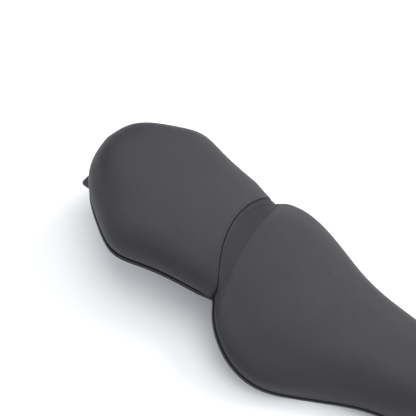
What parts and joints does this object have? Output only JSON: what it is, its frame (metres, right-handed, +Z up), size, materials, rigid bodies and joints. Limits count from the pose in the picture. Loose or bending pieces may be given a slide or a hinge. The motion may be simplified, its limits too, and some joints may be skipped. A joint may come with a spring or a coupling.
{
  "type": "motorcycle seat",
  "caption": "Two-piece touring motorcycle seat: dished rider seat and raised pillion seat that lifts at its front edge, with covers, foam, ribbed pans, brackets, striker and rubber buffers.",
  "frame": {"origin": "middle of the underside of the rider seat's rear bracket, where it rests on the frame", "axes": "+X points forward in the direction of travel, +Y to the rider's left, +Z up"},
  "size_m": [0.792, 0.3634, 0.1907],
  "materials": {
    "cover_vinyl": "matte charcoal vinyl with a fine grain and a soft sheen",
    "seat_foam": "moulded dark grey polyurethane foam, fine open pores",
    "pan_plastic": "black moulded polypropylene, fine texture",
    "buffer_rubber": "black rubber, matte",
    "zinc_steel": "zinc-plated steel, satin",
    "black_steel": "black e-coated sheet steel, semi-matte"
  },
  "bodies": {
    "rider_seat": {"rider_cover": "cover_vinyl", "rider_foam": "seat_foam", "rider_pan": "pan_plastic", "rider_rear_bracket": "black_steel", "rider_front_tongue": "black_steel", "rider_bracket_screw_left": "zinc_steel", "rider_bracket_screw_right": "zinc_steel", "rider_tongue_screw_left": "zinc_steel", "rider_tongue_screw_right": "zinc_steel", "rider_buffer_rear_left": "buffer_rubber", "rider_buffer_rear_right": "buffer_rubber", "rider_buffer_middle_left": "buffer_rubber", "rider_buffer_middle_right": "buffer_rubber", "rider_buffer_front_left": "buffer_rubber", "rider_buffer_front_right": "buffer_rubber"},
    "pillion_seat": {"pillion_cover": "cover_vinyl", "pillion_foam": "seat_foam", "pillion_pan": "pan_plastic", "pillion_striker_plate": "zinc_steel", "pillion_striker_loop": "zinc_steel", "pillion_tongue_left": "black_steel", "pillion_tongue_right": "black_steel", "pillion_tongue_screw_front_left": "zinc_steel", "pillion_tongue_screw_front_right": "zinc_steel", "pillion_tongue_screw_rear_left": "zinc_steel", "pillion_tongue_screw_rear_right": "zinc_steel", "pillion_striker_screw_left": "zinc_steel", "pillion_striker_screw_right": "zinc_steel", "pillion_buffer_front_left": "buffer_rubber", "pillion_buffer_front_right": "buffer_rubber", "pillion_buffer_rear_left": "buffer_rubber", "pillion_buffer_rear_right": "buffer_rubber"}
  },
  "joints": [
    {"name": "pillion_lift", "type": "hinge", "parent": "rider_seat", "child": "pillion_seat", "pos_m": [-0.242, 0, 0.0035], "axis": [0, -1, 0], "range_deg": [0, 38]}
  ]
}
